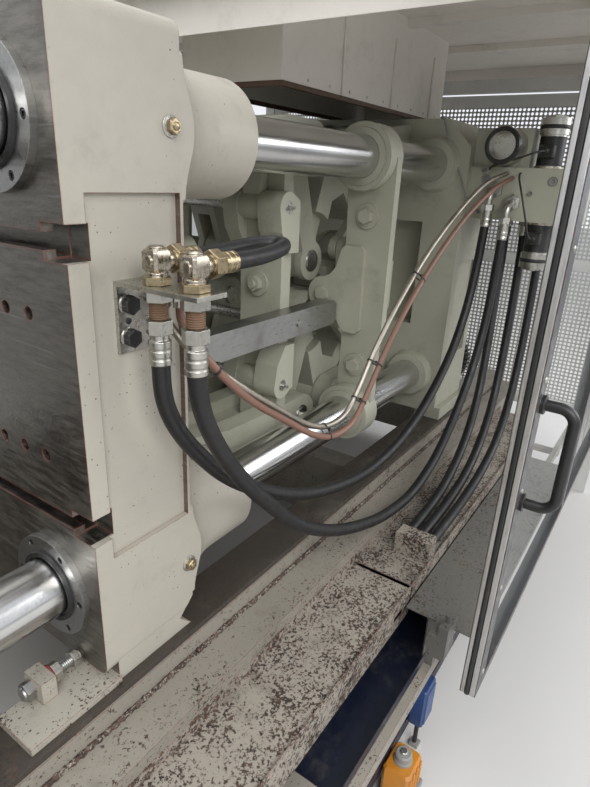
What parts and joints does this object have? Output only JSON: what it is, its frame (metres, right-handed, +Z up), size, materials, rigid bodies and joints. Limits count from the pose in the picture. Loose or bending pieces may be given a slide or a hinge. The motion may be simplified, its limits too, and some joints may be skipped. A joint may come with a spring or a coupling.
{
  "type": "injection moulding machine",
  "caption": "Horizontal injection moulding machine with a double-toggle clamp on four tie bars, sliding guard doors, hydraulic hoses and an injection unit on the same bed.",
  "frame": {"origin": "on the floor, in the middle of the footprint", "axes": "+X from the injection end to the clamp end, +Y to the operator side away from the pictured hoses, +Z up"},
  "size_m": [7.4, 2.574, 2.2853],
  "materials": {
    "bed_paint": "worn matt paint",
    "cast_paint": "worn satin paint",
    "toggle_paint": "satin paint",
    "machined_steel": "machined",
    "chrome_steel": "ground and polished",
    "dark_steel": "blackened",
    "zinc_steel": "zinc plated",
    "tray_paint": "dirty and rusted",
    "guard_paint": "satin paint",
    "door_frame": "satin",
    "clear_sheet": "clear",
    "black_rubber": "matt",
    "braid": "braided",
    "red_conduit": "satin",
    "blue_paint": "satin paint",
    "red_steel": "worn",
    "brass_fitting": "dull",
    "red_plastic": "gloss",
    "alu_hopper": "brushed"
  },
  "bodies": {
    "frame": {"bed_frame": "bed_paint", "slide_rails": "dark_steel", "drip_trays": "tray_paint", "levelling_feet": "machined_steel", "stationary_platen": "cast_paint", "locating_ring": "machined_steel", "tie_bars": "chrome_steel", "tie_bar_nuts": "dark_steel", "rear_platen": "toggle_paint", "rear_toggle_pins": "chrome_steel", "clamp_cylinder": "toggle_paint", "valve_manifold": "toggle_paint", "manifold_valves": "zinc_steel", "manifold_fittings": "zinc_steel", "end_guard": "guard_paint", "guard_frame": "guard_paint", "roof_panels": "guard_paint", "door_sill": "zinc_steel", "base_cabinet": "blue_paint", "drop_hose_1": "black_rubber", "drop_hose_2": "black_rubber", "drop_hose_3": "black_rubber", "control_panel": "guard_paint"},
    "upper_rear_link": {"upper_rear_links": "toggle_paint", "upper_knee_pins": "chrome_steel"},
    "upper_front_link": {"upper_front_links": "toggle_paint"},
    "moving_platen": {"moving_platen": "cast_paint", "toggle_block": "toggle_paint", "shoe_screws": "red_steel", "tie_bar_bushes": "machined_steel", "safety_bar": "machined_steel", "front_toggle_pins": "chrome_steel", "hose_bracket": "zinc_steel", "bracket_fittings": "brass_fitting", "loop_hose": "black_rubber", "ejector_cylinder": "toggle_paint"},
    "ejector": {"ejector_rod": "chrome_steel"},
    "hoses": {"hose_a": "black_rubber", "hose_b": "black_rubber", "conduit_braided": "braid", "conduit_red": "red_conduit"},
    "lower_rear_link": {"lower_rear_links": "toggle_paint", "lower_knee_pins": "chrome_steel"},
    "lower_front_link": {"lower_front_links": "toggle_paint"},
    "crosshead": {"crosshead": "toggle_paint", "crosshead_arms": "toggle_paint", "cylinder_rod": "chrome_steel"},
    "upper_crosshead_link": {"upper_crosshead_links": "toggle_paint"},
    "lower_crosshead_link": {"lower_crosshead_links": "toggle_paint"},
    "near_door": {"near_door": "door_frame", "near_door_window": "clear_sheet"},
    "far_door": {"far_door": "guard_paint", "far_door_window": "clear_sheet"},
    "carriage": {"injection_carriage": "cast_paint", "barrel": "dark_steel", "hopper": "alu_hopper"},
    "hopper_lid": {"hopper_lid": "alu_hopper"},
    "injection_ram": {"injection_drive": "dark_steel"},
    "screw": {"injection_screw": "machined_steel"},
    "emergency_button": {"emergency_button": "red_plastic"}
  },
  "joints": [
    {"name": "toggle_fold", "type": "hinge", "parent": "frame", "child": "upper_rear_link", "pos_m": [2.16, 0, 1.745], "axis": [0, 1, 0], "range_deg": [0, 70.63]},
    {"name": "upper_knee", "type": "hinge", "parent": "upper_rear_link", "child": "upper_front_link", "pos_m": [2.03, 0, 1.37518], "axis": [0, 1, 0], "range_deg": [-141.27, 0.01]},
    {"name": "platen_pivot", "type": "hinge", "parent": "upper_front_link", "child": "moving_platen", "pos_m": [1.9, 0, 1.745], "axis": [0, 1, 0], "range_deg": [-0.01, 70.64]},
    {"name": "lower_toggle", "type": "hinge", "parent": "frame", "child": "lower_rear_link", "pos_m": [2.16, 0, 0.825], "axis": [0, 1, 0], "range_deg": [-70.64, 0.01]},
    {"name": "lower_knee", "type": "hinge", "parent": "lower_rear_link", "child": "lower_front_link", "pos_m": [2.03, 0, 1.19482], "axis": [0, 1, 0], "range_deg": [-0.01, 141.27]},
    {"name": "crosshead_slide", "type": "slide", "parent": "frame", "child": "crosshead", "axis": [1, 0, 0], "range_m": [-0.3187, 0.0002]},
    {"name": "upper_crosshead_pivot", "type": "hinge", "parent": "upper_rear_link", "child": "upper_crosshead_link", "pos_m": [2.32931, 0, 1.54768], "axis": [0, 1, 0], "range_deg": [-61.41, 0.01]},
    {"name": "lower_crosshead_pivot", "type": "hinge", "parent": "lower_rear_link", "child": "lower_crosshead_link", "pos_m": [2.32931, 0, 1.02232], "axis": [0, 1, 0], "range_deg": [-0.01, 61.41]},
    {"name": "hose_follow", "type": "slide", "parent": "frame", "child": "hoses", "axis": [1, 0, 0], "range_m": [-0.5242, 0.0002], "deforming": ["hose_a", "hose_b", "conduit_braided", "conduit_red"]},
    {"name": "ejector_stroke", "type": "slide", "parent": "moving_platen", "child": "ejector", "axis": [-1, 0, 0], "range_m": [0, 0.12]},
    {"name": "near_door_slide", "type": "slide", "parent": "frame", "child": "near_door", "axis": [1, 0, 0], "range_m": [-1.6, 0]},
    {"name": "far_door_slide", "type": "slide", "parent": "frame", "child": "far_door", "axis": [1, 0, 0], "range_m": [0, 1.6]},
    {"name": "carriage_slide", "type": "slide", "parent": "frame", "child": "carriage", "axis": [1, 0, 0], "range_m": [-0.35, 0]},
    {"name": "injection_stroke", "type": "slide", "parent": "carriage", "child": "injection_ram", "axis": [1, 0, 0], "range_m": [-0.25, 0]},
    {"name": "screw_spin", "type": "hinge", "parent": "injection_ram", "child": "screw", "pos_m": [-2.9, 0, 1.285], "axis": [1, 0, 0], "continuous": true},
    {"name": "hopper_lid_hinge", "type": "hinge", "parent": "carriage", "child": "hopper_lid", "pos_m": [-2.555, 0, 2.2493], "axis": [0, -1, 0], "range_deg": [0, 100]},
    {"name": "emergency_press", "type": "slide", "parent": "frame", "child": "emergency_button", "axis": [0, -1, 0], "range_m": [0, 0.006], "stiffness_N_per_m": 1500}
  ],
  "couplings": [
    {"joint": "upper_knee", "follows": "toggle_fold", "ratio": -2},
    {"joint": "platen_pivot", "follows": "toggle_fold", "ratio": 1},
    {"joint": "lower_toggle", "follows": "toggle_fold", "ratio": -1},
    {"joint": "lower_knee", "follows": "toggle_fold", "ratio": 2},
    {"joint": "crosshead_slide", "follows": "toggle_fold", "m_per_rad": -0.25836},
    {"joint": "upper_crosshead_pivot", "follows": "toggle_fold", "ratio": -0.86921},
    {"joint": "lower_crosshead_pivot", "follows": "toggle_fold", "ratio": 0.86921},
    {"joint": "hose_follow", "follows": "toggle_fold", "m_per_rad": -0.42506}
  ]
}
